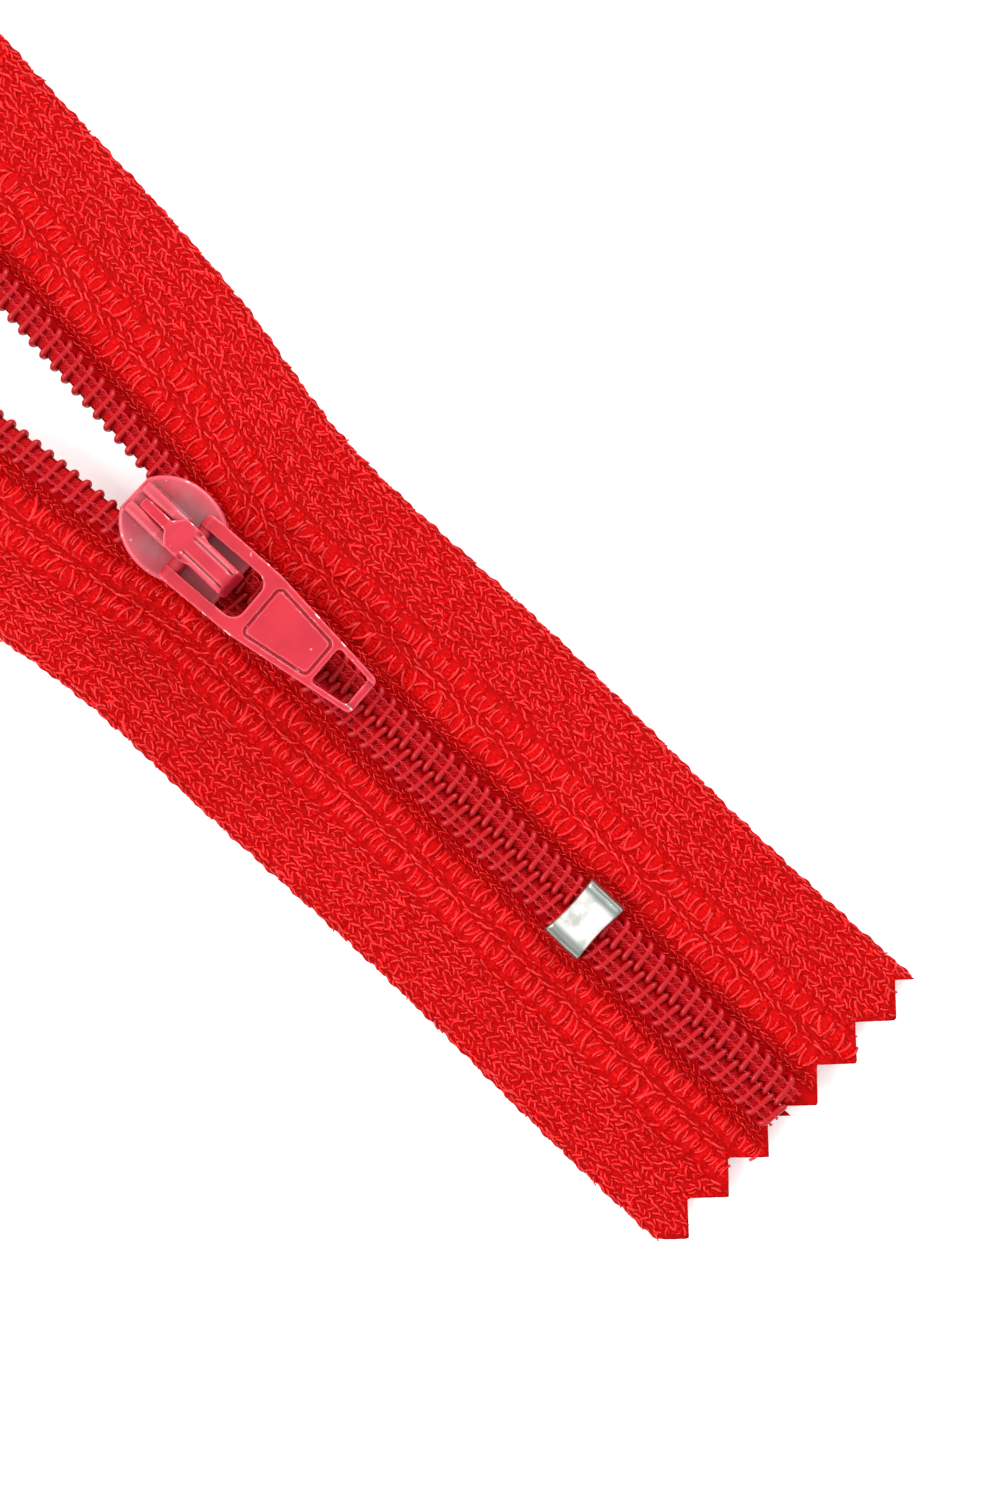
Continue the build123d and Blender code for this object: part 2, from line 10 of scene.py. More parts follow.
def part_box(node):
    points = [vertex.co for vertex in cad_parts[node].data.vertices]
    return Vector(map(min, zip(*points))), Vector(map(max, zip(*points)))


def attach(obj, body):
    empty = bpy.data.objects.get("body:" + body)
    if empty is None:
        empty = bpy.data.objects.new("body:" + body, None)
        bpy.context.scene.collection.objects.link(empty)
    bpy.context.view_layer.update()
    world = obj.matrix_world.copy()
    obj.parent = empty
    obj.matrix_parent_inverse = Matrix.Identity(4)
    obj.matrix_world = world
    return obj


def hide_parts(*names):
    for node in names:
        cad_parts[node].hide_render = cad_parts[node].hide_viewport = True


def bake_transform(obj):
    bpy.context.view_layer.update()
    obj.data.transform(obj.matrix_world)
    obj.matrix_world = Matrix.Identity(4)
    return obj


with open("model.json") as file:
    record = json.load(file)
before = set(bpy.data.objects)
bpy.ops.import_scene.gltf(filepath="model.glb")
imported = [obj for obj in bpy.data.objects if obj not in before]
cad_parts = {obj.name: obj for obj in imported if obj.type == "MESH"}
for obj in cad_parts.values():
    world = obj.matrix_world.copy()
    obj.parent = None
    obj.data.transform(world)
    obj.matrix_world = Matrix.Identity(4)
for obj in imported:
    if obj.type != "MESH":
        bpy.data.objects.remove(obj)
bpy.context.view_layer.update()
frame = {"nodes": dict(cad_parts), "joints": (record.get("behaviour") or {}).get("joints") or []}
scene = bpy.context.scene
MM = 0.001


# ---- Table, light and camera -------------------------------------------------------------
# A white sweep of card under a white dome, one broad soft box at the left and a weaker one
# low at the right, so that lacquer and yarns catch small highlights. The camera looks down.
stop_low, stop_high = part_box("bottom_stop")
slider_low, slider_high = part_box("slider_body")
stop_y = (stop_low.y + stop_high.y) / 2
chain_heading = math.radians(43.5)
view_centre = Vector((4.45 * MM, stop_y + 12.26 * MM, 0))
view_height = 104.1 * MM
lens = 100.0
sensor = 36.0

bpy.ops.mesh.primitive_plane_add(size=2.4, location=(0, 0, -0.02 * MM))
table = bpy.context.object
table.name = "table"

camera_data = bpy.data.cameras.new("camera")
camera_data.lens = lens
camera_data.sensor_width = sensor
camera_data.clip_start = 0.01
camera = bpy.data.objects.new("camera", camera_data)
distance = view_height * lens / sensor
camera.location = view_centre + Vector((0, 0, distance))
camera.rotation_euler = Euler((0, 0, chain_heading - math.pi / 2))
scene.collection.objects.link(camera)
scene.camera = camera


def soft_box(name, size, power, place, aim):
    light = bpy.data.lights.new(name, "AREA")
    light.shape, light.size, light.energy = "SQUARE", size, power
    lamp = bpy.data.objects.new(name, light)
    lamp.location = place
    lamp.rotation_euler = (Vector(aim) - Vector(place)).to_track_quat("-Z", "Y").to_euler()
    scene.collection.objects.link(lamp)


soft_box("overhead_box", 0.7, 9.5, (-0.65, 0.45, 0.70), (0, 0, 0))
soft_box("side_box", 0.25, 2.2, (0.45, 0.10, 0.30), (0, 0, 0))
world = bpy.data.worlds.new("studio")
world.use_nodes = True
sky = world.node_tree
facing = sky.nodes.new("ShaderNodeTexCoord")
parts_of_facing = sky.nodes.new("ShaderNodeSeparateXYZ")
dome = sky.nodes.new("ShaderNodeMapRange")
dome.inputs["To Min"].default_value, dome.inputs["To Max"].default_value = 0.50, 1.05
sky.links.new(facing.outputs["Generated"], parts_of_facing.inputs[0])
sky.links.new(parts_of_facing.outputs["Z"], dome.inputs["Value"])
sky.links.new(dome.outputs[0], sky.nodes["Background"].inputs["Strength"])
sky.nodes["Background"].inputs["Color"].default_value = (1, 1, 1, 1)
scene.world = world
scene.view_settings.view_transform = "Standard"


# ---- Finishes ----------------------------------------------------------------------------
# Every finish is a small node tree. A Signal is a number that varies over a surface, and
# Python's operators on it become Math nodes.
class Signal:
    def __init__(self, finish, socket):
        self.finish, self.socket = finish, socket

    def maths(self, operation, *others):
        values = dict(enumerate((self, *others)))
        return self.finish.add("ShaderNodeMath", {"operation": operation}, values)

    def __add__(self, other):
        return self.maths("ADD", other)

    def __sub__(self, other):
        return self.maths("SUBTRACT", other)

    def __rsub__(self, other):
        return (self * -1.0).maths("ADD", other)

    def __mul__(self, other):
        return self.maths("MULTIPLY", other)

    __radd__ = __add__

    def between(self, low, high):
        """0 below low, 1 above high, smooth between."""
        settings = {"interpolation_type": "SMOOTHSTEP"}
        values = {"Value": self, "From Min": low, "From Max": high}
        return self.finish.add("ShaderNodeMapRange", settings, values)


class Finish:
    def __init__(self, name, **constants):
        self.material = bpy.data.materials.new(name)
        self.material.use_nodes = True
        self.tree = self.material.node_tree
        self.shader = self.tree.nodes["Principled BSDF"]
        for key, value in constants.items():
            self.shader.inputs[key.replace("_", " ")].default_value = value

    def add(self, kind, settings=None, values=None, output=0):
        node = self.tree.nodes.new(kind)
        for key, value in (settings or {}).items():
            if key == "stops":
                for element, (place, colour) in zip(node.color_ramp.elements, value):
                    element.position, element.color = place, (*colour, 1)
            else:
                setattr(node, key, value)
        for key, value in (values or {}).items():
            self.feed(node.inputs[key], value)
        return Signal(self, node.outputs[output])

    def feed(self, socket, value):
        if isinstance(value, Signal):
            self.tree.links.new(value.socket, socket)
        else:
            socket.default_value = value

    def coordinates(self, scale):
        """Object coordinates in units of 1 mm, times a scale along each axis."""
        place = self.add("ShaderNodeTexCoord", output="Object")
        values = {"Vector": place, "Scale": tuple(share / MM for share in scale)}
        return self.add("ShaderNodeMapping", {}, values)

    def noise(self, vector, scale, detail=2.0, output="Fac"):
        values = {"Vector": vector, "Scale": scale, "Detail": detail}
        return self.add("ShaderNodeTexNoise", {}, values, output)

    def mix(self, share, first, second):
        settings = {"data_type": "RGBA"}
        colours = {
            6: first if isinstance(first, Signal) else (*first, 1),
            7: second if isinstance(second, Signal) else (*second, 1),
        }
        return self.add("ShaderNodeMix", settings, {0: share, **colours}, output=2)

    def bump(self, height, depth, strength=1.0):
        values = {"Height": height, "Distance": depth * MM, "Strength": strength}
        self.feed(self.shader.inputs["Normal"], self.add("ShaderNodeBump", {}, values))

    def colour(self, value):
        self.feed(self.shader.inputs["Base Color"], value)

    def roughness(self, value):
        self.feed(self.shader.inputs["Roughness"], value)


card = Finish("white_card", Roughness=0.9, Emission_Strength=0.35, Emission_Color=(1, 1, 1, 1))
fleck = card.noise(card.coordinates((0.2, 0.2, 0.2)), 1.0)
card.colour(card.mix(fleck, (0.93, 0.93, 0.93), (0.97, 0.97, 0.97)))
table.data.materials.append(card.material)


# ---- Woven tapes -------------------------------------------------------------------------
# Two polyester tapes woven in one width: a smooth channel beside the coil, a narrow fine
# stripe, two columns of raised ribs, and a broad herringbone margin with a scalloped
# selvedge. Each is one sheet, pinked at both ends, and both part in the slider.
joint = {entry["name"]: entry for entry in frame["joints"]}
tape_edge, half_width = 0.05 * MM, 12.65 * MM
tape_thickness = 0.55 * MM
coil_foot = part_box("right_coil_lower")[0].z
tape_level = coil_foot - tape_thickness
part_start, mouth_y = slider_low.y + 1.2 * MM, slider_high.y
pivot_y = joint["left_stringer_swing"]["pos_m"][1]
half_angle = math.radians(-joint["left_stringer_swing"]["range_deg"][0])
tape_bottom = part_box("right_tape_lower")[0].y
chain_length, tape_above = 100 * MM, 21 * MM
chain_top = stop_y + chain_length
tape_top_end = chain_top + tape_above
rib_pitch = 1.15 * MM
pink_pitch, pink_depth = 3.95 * MM, 2.0 * MM
pink_first = {"left": 3.15 * MM, "right": 1.76 * MM}
SIDES = {"left": -1, "right": 1}


def smooth(t):
    t = np.clip(t, 0, 1)
    return t * t * (3 - 2 * t)


def lay(side, across, along, height):
    """Row-frame points of a stringer given where they lie on the closed chain."""
    slack = 0.6 * np.maximum(across - 2.4 * MM, 0)
    turn = half_angle * smooth((along - part_start + slack) / (mouth_y - part_start + 2 * slack))
    reach = along - pivot_y
    x = side * (across * np.cos(turn) + reach * np.sin(turn))
    y = pivot_y + reach * np.cos(turn) - across * np.sin(turn)
    return np.stack([x, y, height], axis=-1)


def tape_drop(across):
    """Height of the tape's underside: level by the coil, on the table at its outer half."""
    return tape_level * (1 - smooth((across - 3.6 * MM) / (5.6 * MM))) + 0.04 * MM


def tape_face(side, across, along):
    """Sideways wander of the weave, and height of the tape's underside, with its soft waves."""
    wander = 0.18 * np.sin(along / MM * 0.16 + side) * smooth((across - 5 * MM) / (7 * MM))
    swell = 0.10 * (1 + np.sin(along / MM * 0.33 + across / MM * 0.5 * side))
    swell = swell * smooth((across - 4 * MM) / (4 * MM))
    return wander * MM, tape_drop(across) + swell * MM


def weave_relief(across, along):
    """Height of the weave above the tape's mean face, in metres."""
    u, v = across / MM, along / rib_pitch
    rib = np.abs(np.cos(math.pi * (v + 0.08 * np.sin(3.1 * v)))) ** 0.7
    first_column = smooth((u - 2.95) / 0.25) * (1 - smooth((u - 4.35) / 0.3))
    second_column = smooth((u - 5.35) / 0.25) * (1 - smooth((u - 6.75) / 0.3))
    shifted = np.abs(np.cos(math.pi * (v + 0.5 + 0.08 * np.sin(2.3 * v)))) ** 0.7
    ribs = first_column * rib + second_column * shifted
    twill = np.sin(5.2 * u + 2.4 * np.sin(1.1 * v)) * np.sin(1.4 * math.pi * v + 1.6 * u)
    margin = smooth((u - 6.9) / 0.5)
    channel = 1 - smooth((u - 2.0) / 0.5)
    return (0.22 * ribs + 0.08 * margin * twill - 0.10 * channel) * MM


def pinked(across, first, end, sign):
    """Zigzag cut of a tape end."""
    wave = np.abs(((across - first) / pink_pitch + 0.5) % 1 - 0.5) * 2
    return end + sign * pink_depth * wave


def tape_sheet(name, side):
    """Closed sheet with UV in millimetres: across the tape and along the chain."""
    columns, rows, end_rows = 62, 700, 14
    first = pink_first[name]
    across = np.linspace(tape_edge, half_width, columns)
    straight = np.linspace(tape_bottom + 3 * MM, tape_top_end - 3 * MM, rows)
    share = np.linspace(0, 1, end_rows, endpoint=False)[:, None]
    low = pinked(across, first, tape_bottom, 1)
    high = pinked(across, first, tape_top_end, -1)
    along = np.vstack([
        low * (1 - share) + straight[0] * share,
        np.repeat(straight[:, None], columns, axis=1),
        (high * (1 - share) + straight[-1] * share)[::-1],
    ])
    across = np.repeat(across[None, :], len(along), axis=0)
    rim = smooth((across - half_width + 0.5 * MM) / (0.5 * MM))
    scallop = 0.06 * np.sin(2 * math.pi * along / rib_pitch) + 0.05 * np.sin(along / MM * 2.1 + side)
    wander, base = tape_face(side, across, along)
    shown_across = across + rim * scallop * MM + wander
    thin = 1 - 0.75 * rim
    relief = weave_relief(across, along)
    top = lay(side, shown_across, along, base + tape_thickness * thin + relief)
    under = lay(side, shown_across, along, np.maximum(base + relief * 0.3, 0.02 * MM))
    points = np.concatenate([top.reshape(-1, 3), under.reshape(-1, 3)])
    count, (height, width) = top.size // 3, along.shape
    grid = np.arange(count).reshape(height, width)
    quads = np.stack(
        [grid[:-1, :-1], grid[:-1, 1:], grid[1:, 1:], grid[1:, :-1]], axis=-1
    ).reshape(-1, 4)
    rims = []
    for line in (grid[0, :], grid[:, -1], grid[-1, ::-1], grid[::-1, 0]):
        rims.append(np.stack([line[1:], line[:-1], line[:-1] + count, line[1:] + count], axis=-1))
    faces = np.concatenate([quads, quads[:, ::-1] + count, *rims])
    if side < 0:
        faces = faces[:, ::-1]
    mesh = bpy.data.meshes.new(f"{name}_tape")
    mesh.from_pydata(points.tolist(), [], faces.tolist())
    spots = np.stack([across, along], axis=-1).reshape(-1, 2) / MM
    spots = np.concatenate([spots, spots])
    corner = np.empty(len(mesh.loops), np.int32)
    mesh.loops.foreach_get("vertex_index", corner)
    layer = mesh.uv_layers.new(name="weave")
    layer.uv.foreach_set("vector", spots[corner].astype(np.float32).ravel())
    height_layer = mesh.attributes.new("relief", "FLOAT", "POINT")
    both = np.concatenate([relief.ravel(), relief.ravel() * 0.6]) / (0.2 * MM)
    height_layer.data.foreach_set("value", both.astype(np.float32))
    mesh.shade_smooth()
    tape = bpy.data.objects.new(f"{name}_tape", mesh)
    scene.collection.objects.link(tape)
    return tape


def follow_opening(piece, name, *nodes):
    """Hides the CAD pieces that this piece replaces and bakes its placement into its mesh, which lay()
    has already shaped closed below the slider and open above it.
    """
    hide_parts(*nodes)
    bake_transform(piece)


weave = Finish("woven_red_polyester", Specular_IOR_Level=0.06)
uv = weave.add("ShaderNodeUVMap", {"uv_map": "weave"})
place = weave.add("ShaderNodeSeparateXYZ", {}, {0: uv})
smooth_channel = place.between(1.3, 1.6) * (1 - place.between(1.9, 2.6))
textured = 1 - smooth_channel * 0.85
stroke_places = weave.add("ShaderNodeMapping", {}, {"Vector": uv, "Scale": (3.4, 1.9, 1.0)})
strokes = weave.add(
    "ShaderNodeTexVoronoi", {"feature": "DISTANCE_TO_EDGE"},
    {"Vector": stroke_places, "Scale": 1.0, "Randomness": 0.9},
)
yarn = strokes.between(0.02, 0.30) * textured
fine_places = weave.add("ShaderNodeMapping", {}, {"Vector": uv, "Scale": (9.0, 2.0, 1.0)})
filaments = weave.noise(fine_places, 1.0)
relief = weave.add("ShaderNodeAttribute", {"attribute_name": "relief"}, output="Fac")
# Painted highlight and shade: the ground is coloured lighter where the weave is raised and along the
# yarn strokes, and darker in its low parts; the filament noise adds a random fibre tone.
painted_highlight_and_fibre_tone = (relief * 0.35 + yarn * 0.6 + filaments * 0.3).between(0.05, 1.2)
ground = weave.mix(painted_highlight_and_fibre_tone, (0.36, 0.0, 0.0), (0.66, 0.001, 0.002))
weave.colour(weave.mix(smooth_channel, ground, (0.46, 0.0, 0.001)))
weave.roughness(0.66 - yarn * 0.16)
weave.bump(yarn * 0.7 + filaments * 0.3 * textured, 0.12)

for name, side in SIDES.items():
    tape = tape_sheet(name, side)
    tape.data.materials.append(weave.material)
    follow_opening(tape, name, f"{name}_tape_lower", f"{name}_tape_upper")

# ---- Yarns that float on the weave ---------------------------------------------------------
# The bright crimped yarns stand out of the ground weave as short bowed loops: slanting ones in
# the fine stripe, two long and two short ones across each rib, some along the rib columns and
# the selvedge, and a herringbone over the margin. Each is a small loop of its own.
def loop_column(rng, side, across, step, heading, length, start=0.0, loose=0.05, bow=0.5):
    """Across, along, heading from the chain's direction and length of one column of loops."""
    along = np.arange(tape_bottom + start * step, tape_top_end, step)
    drift = rng.normal(0, loose, (4, len(along)))
    places = across * MM + drift[0] * 0.6 * MM
    along = along + drift[1] * MM
    turned = heading + drift[2] * 4.0 + math.pi * (rng.random(len(along)) < bow)
    first = pink_first["right" if side > 0 else "left"]
    margin = 0.30 * MM
    kept = along > pinked(places, first, tape_bottom, 1) + margin
    kept &= along < pinked(places, first, tape_top_end, -1) - margin
    lengths = length * MM * (1 + 2.5 * drift[3])
    return np.stack([places, along, turned, lengths], axis=-1)[kept]


def rib_loops(rng, side):
    columns = []
    for number, across in enumerate((2.20, 2.52, 2.84)):
        slant = math.radians(26 if number % 2 else -26)
        columns.append(loop_column(rng, side, across, rib_pitch / 2, slant, 0.62, number * 0.4))
    quarter = math.pi / 2
    for across, start in ((3.66, 0.0), (6.04, 0.5)):
        for strand, bow in ((-0.30, 0.8), (0.30, 0.2), (-0.1, 0.5), (0.1, 0.5)):
            shift = start + strand * MM / rib_pitch
            reach = 1.25 if abs(strand) > 0.2 else 0.75
            columns.append(
                loop_column(rng, side, across, rib_pitch, quarter, reach, shift, 0.06, bow)
            )
    for across, start, bow in ((4.55, 0.2, 0), (4.95, 0.7, 1), (5.25, 0.2, 0), (6.95, 0.4, 1)):
        columns.append(loop_column(rng, side, across, rib_pitch, 0.12, 0.95, start, 0.06, bow))
    columns.append(loop_column(rng, side, 12.49, rib_pitch / 2, -0.30, 0.62))
    return np.concatenate(columns)


def margin_loops(rng, side):
    columns = []
    for number, across in enumerate(np.arange(7.35, 12.3, 0.40)):
        slant = math.radians((28, -34, 14, 40, -24)[number % 5])
        start = (number * 0.37) % 1
        columns.append(
            loop_column(rng, side, across, 0.50 * MM, slant, 0.60, start, 0.075)
        )
    return np.concatenate(columns)


def loop_seeds(name, side, places):
    """Mesh of single points that carry how each loop is turned and how long it is."""
    across, along, heading, length = places.T

    def on_tape(across, along):
        wander, base = tape_face(side, across, along)
        height = base + tape_thickness + weave_relief(across, along) - 0.02 * MM
        return lay(side, across + wander, along, height)

    reach = 0.25 * MM
    here = on_tape(across, along)
    ahead = on_tape(across + reach * np.sin(heading), along + reach * np.cos(heading)) - here
    ahead /= np.linalg.norm(ahead, axis=-1, keepdims=True)
    yaw, rise = np.arctan2(-ahead[:, 0], ahead[:, 1]), np.arcsin(ahead[:, 2])
    mesh = bpy.data.meshes.new(f"{name}_seeds")
    mesh.from_pydata(here.tolist(), [], [])
    turn = mesh.attributes.new("turn", "FLOAT_VECTOR", "POINT")
    turn.data.foreach_set("vector", np.stack([rise, 0 * yaw, yaw], -1).astype(np.float32).ravel())
    stretch = mesh.attributes.new("stretch", "FLOAT", "POINT")
    stretch.data.foreach_set("value", length.astype(np.float32))
    return mesh


class Tree:
    """A Geometry Nodes tree with named inputs, ending in realised, painted geometry."""

    def __init__(self, name, **inputs):
        self.group = bpy.data.node_groups.new(name, "GeometryNodeTree")
        face = self.group.interface
        face.new_socket("Geometry", in_out="INPUT", socket_type="NodeSocketGeometry")
        for key, kind in inputs.items():
            face.new_socket(key, in_out="INPUT", socket_type=f"NodeSocket{kind}")
        face.new_socket("Geometry", in_out="OUTPUT", socket_type="NodeSocketGeometry")
        self.source = self.group.nodes.new("NodeGroupInput")

    def add(self, kind, settings=None, values=None):
        node = self.group.nodes.new(kind)
        for key, value in (settings or {}).items():
            setattr(node, key, value)
        for key, value in (values or {}).items():
            if isinstance(value, bpy.types.NodeSocket):
                self.group.links.new(value, node.inputs[key])
            else:
                node.inputs[key].default_value = value
        return node

    def end(self, geometry):
        smoothed = self.add("GeometryNodeSetShadeSmooth", {}, {"Geometry": geometry})
        real = self.add("GeometryNodeRealizeInstances", {}, {"Geometry": smoothed.outputs[0]})
        values = {"Geometry": real.outputs[0], "Material": self.source.outputs["Material"]}
        painted = self.add("GeometryNodeSetMaterial", {}, values)
        self.add("NodeGroupOutput", {}, {"Geometry": painted.outputs[0]})

    def grow(self, name, seed, **inputs):
        """A plain mesh object, made by this tree from a seed mesh."""
        carrier = bpy.data.objects.new(f"{name}_seed", seed)
        scene.collection.objects.link(carrier)
        modifier = carrier.modifiers.new("grow", "NODES")
        modifier.node_group = self.group
        for item in self.group.interface.items_tree:
            if item.in_out == "INPUT" and item.name in inputs:
                modifier[item.identifier] = inputs[item.name]
        bpy.context.view_layer.update()
        grown = carrier.evaluated_get(bpy.context.evaluated_depsgraph_get())
        mesh = bpy.data.meshes.new_from_object(grown)
        carrier.modifiers.remove(modifier)
        bpy.data.objects.remove(carrier)
        mesh.name = name
        piece = bpy.data.objects.new(name, mesh)
        scene.collection.objects.link(piece)
        return piece


loops = Tree("floating_loops", Bow="Float", Thickness="Float", Sides="Int", Material="Material")
middle = loops.add("ShaderNodeCombineXYZ", {}, {"X": loops.source.outputs["Bow"], "Z": 0.20})
bowed = loops.add("GeometryNodeCurveQuadraticBezier", {}, {
    "Resolution": 4, "Start": (0, -0.5, -0.12), "Middle": middle.outputs[0], "End": (0, 0.5, -0.12),
})
share = loops.add("GeometryNodeSplineParameter")
hump = loops.add("ShaderNodeMath", {"operation": "MULTIPLY"}, {
    0: share.outputs["Factor"], 1: math.pi,
})
hump = loops.add("ShaderNodeMath", {"operation": "SINE"}, {0: hump.outputs[0]})
hump = loops.add("ShaderNodeMath", {"operation": "MULTIPLY_ADD"}, {0: hump.outputs[0], 1: 0.6, 2: 0.4})
tapered = loops.add("GeometryNodeSetCurveRadius", {}, {
    "Curve": bowed.outputs[0], "Radius": hump.outputs[0],
})
ring = loops.add("GeometryNodeCurvePrimitiveCircle", {}, {
    "Resolution": loops.source.outputs["Sides"], "Radius": loops.source.outputs["Thickness"],
})
loop_tube = loops.add("GeometryNodeCurveToMesh", {}, {
    "Curve": tapered.outputs[0], "Profile Curve": ring.outputs[0], "Fill Caps": True,
})
turn = loops.add("GeometryNodeInputNamedAttribute", {"data_type": "FLOAT_VECTOR"}, {"Name": "turn"})
stretch = loops.add("GeometryNodeInputNamedAttribute", {"data_type": "FLOAT"}, {"Name": "stretch"})
set_out = loops.add("GeometryNodeInstanceOnPoints", {}, {
    "Points": loops.source.outputs["Geometry"], "Instance": loop_tube.outputs[0],
    "Rotation": turn.outputs["Attribute"], "Scale": stretch.outputs["Attribute"],
})
loops.end(set_out.outputs[0])

yarn_finish = Finish("textured_red_yarn", Specular_IOR_Level=0.38)
shade = yarn_finish.noise(yarn_finish.coordinates((1.3, 1.3, 1.3)), 1.0, 3.0)
yarn_finish.colour(
    yarn_finish.mix(shade.between(0.35, 0.65), (0.56, 0.0, 0.001), (0.80, 0.006, 0.008))
)
yarn_finish.roughness(0.46 - shade * 0.2)
yarn_finish.bump(yarn_finish.noise(yarn_finish.coordinates((9, 9, 9)), 1.0), 0.03)

for name, side in SIDES.items():
    for zone, places, thickness in (
        ("rib", rib_loops(np.random.default_rng(40 + side), side), 0.092),
        ("margin", margin_loops(np.random.default_rng(50 + side), side), 0.130),
    ):
        piece = loops.grow(
            f"{name}_{zone}_yarns", loop_seeds(f"{name}_{zone}", side, places),
            Bow=0.24, Thickness=thickness, Sides=5, Material=yarn_finish.material,
        )
        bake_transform(piece)


# ---- Coils -------------------------------------------------------------------------------
# One nylon monofilament a side, wound into flat turns on top of the tape: a head over the
# centre line, two legs, and a slanting tail. The right coil stands half a pitch ahead.
pitch = 1.11 * MM
filament = 0.50 * MM
coil_low, coil_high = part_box("right_coil_upper")
coil_floor, coil_roof = coil_low.z, coil_high.z
coil_bottom, coil_end = tape_bottom + 1.3 * MM, chain_top - 0.2 * MM
head_reach, tail_reach = -0.34 * MM, 2.10 * MM
first_head = stop_y - math.floor((stop_y - coil_bottom) / pitch) * pitch

runs = Tree("filament", Width="Float", Height="Float", Sides="Int", Material="Material")
line = runs.add("GeometryNodeMeshToCurve", {}, {"Mesh": runs.source.outputs["Geometry"]})
upright = runs.add("GeometryNodeSetCurveNormal", {"mode": "Z_UP"}, {"Curve": line.outputs[0]})
ring = runs.add("GeometryNodeCurvePrimitiveCircle", {}, {
    "Resolution": runs.source.outputs["Sides"], "Radius": 0.5,
})
flat = runs.add("ShaderNodeCombineXYZ", {}, {
    "X": runs.source.outputs["Width"], "Y": runs.source.outputs["Height"], "Z": 1.0,
})
section = runs.add("GeometryNodeTransform", {}, {
    "Geometry": ring.outputs[0], "Scale": flat.outputs[0],
})
tube = runs.add("GeometryNodeCurveToMesh", {}, {
    "Curve": upright.outputs[0], "Profile Curve": section.outputs[0], "Fill Caps": True,
})
runs.end(tube.outputs[0])


def line_mesh(name, lines, widths=None):
    """Edges along each line of points, thicker or thinner where widths say so."""
    starts = np.cumsum([0] + [len(points) for points in lines])
    edges = [(n, n + 1) for a, b in zip(starts, starts[1:]) for n in range(a, b - 1)]
    mesh = bpy.data.meshes.new(name)
    mesh.from_pydata(np.concatenate(lines).tolist(), edges, [])
    if widths is not None:
        radius = mesh.attributes.new("radius", "FLOAT", "POINT")
        radius.data.foreach_set("value", widths.astype(np.float32))
    return mesh


def coil_line(side):
    steps = 20
    first = first_head + (pitch / 2 if side > 0 else 0)
    turns = math.floor((coil_end - filament / 2 - first) / pitch)
    share = np.arange(turns * steps + 1) / steps
    angle = 2 * math.pi * share
    square = 0.42
    out = np.sign(np.cos(angle)) * np.abs(np.cos(angle)) ** square
    up = np.sign(np.sin(angle)) * np.abs(np.sin(angle)) ** square
    middle, half = (head_reach + tail_reach) / 2, (tail_reach - head_reach - filament) / 2
    high, low = coil_roof - filament / 2, coil_floor + filament / 2
    across = middle - half * out
    along = first + pitch * (share - 0.62 * np.sin(angle) / (2 * math.pi))
    line = lay(side, across, along, (high + low) / 2 + (high - low) / 2 * up)
    return line, 1 + 0.24 * np.clip(out, 0, 1) ** 6


nylon = Finish("crimson_nylon", Specular_IOR_Level=0.34)
cloud = nylon.noise(nylon.coordinates((0.5, 0.5, 0.5)), 1.0)
nylon.colour(nylon.mix(cloud, (0.34, 0.0, 0.002), (0.45, 0.0, 0.004)))
nylon.roughness(0.30 + cloud * 0.10)
nylon.bump(nylon.noise(nylon.coordinates((4, 14, 4)), 1.0), 0.015)

for name, side in SIDES.items():
    line, widths = coil_line(side)
    coil = runs.grow(
        f"{name}_coil", line_mesh(f"{name}_coil_line", [line], widths),
        Width=filament, Height=filament, Sides=8, Material=nylon.material,
    )
    follow_opening(coil, name, f"{name}_coil_lower", f"{name}_coil_upper")


# ---- Core cords ----------------------------------------------------------------------------
# A flat braided cord fills each coil, so that the stitches have something to bite into.
cord_across = (head_reach + tail_reach) / 2
cord_height = (coil_floor + coil_roof) / 2
cord_width, cord_thickness = 1.36 * MM, 0.50 * MM

braid = Finish("braided_core", Roughness=0.7, Specular_IOR_Level=0.15)
plait = braid.add("ShaderNodeTexWave", {"bands_direction": "DIAGONAL"}, {
    "Vector": braid.coordinates((1, 1, 1)), "Scale": 2.2, "Distortion": 1.5,
})
braid.colour(braid.mix(plait, (0.42, 0.0, 0.002), (0.58, 0.001, 0.005)))
braid.bump(plait, 0.05)

for name, side in SIDES.items():
    along = np.arange(first_head, coil_end, 0.6 * MM)
    path = lay(side, np.full(len(along), cord_across), along, np.full(len(along), cord_height))
    core = runs.grow(
        f"{name}_core_cord", line_mesh(f"{name}_core_line", [path]),
        Width=cord_width, Height=cord_thickness, Sides=12, Material=braid.material,
    )
    follow_opening(core, name, f"{name}_core_cord_lower", f"{name}_core_cord_upper")


# ---- Stitching -----------------------------------------------------------------------------
# Two rows of double chain stitch a side hold coil and core to the tape. On top each row is a
# pair of threads that cross between every two legs; under the tape it is one looping thread.
thread = 0.12 * MM
thread_flatness = 0.8
stitch_rows = {"inner": 0.82 * MM, "outer": 1.42 * MM}


def stitch_lines(side, across):
    along = np.arange(first_head - 0.2 * MM, coil_end, pitch / 10)
    phase = 2 * math.pi * (along - first_head) / pitch - (math.pi if side > 0 else 0)
    lines = []
    for swing in (1, -1):
        beside = across + swing * 0.07 * MM * np.sin(phase)
        dip = 0.10 * np.cos(phase - 0.5 * swing) - 0.09
        lines.append(lay(side, beside, along, coil_roof + dip * MM))
    sag = 0.03 * MM * np.cos(2 * phase)
    under = tape_level - 0.02 * MM - thread / 2 + sag
    lines.append(lay(side, across + 0.08 * MM * np.sin(phase), along, under))
    return lines


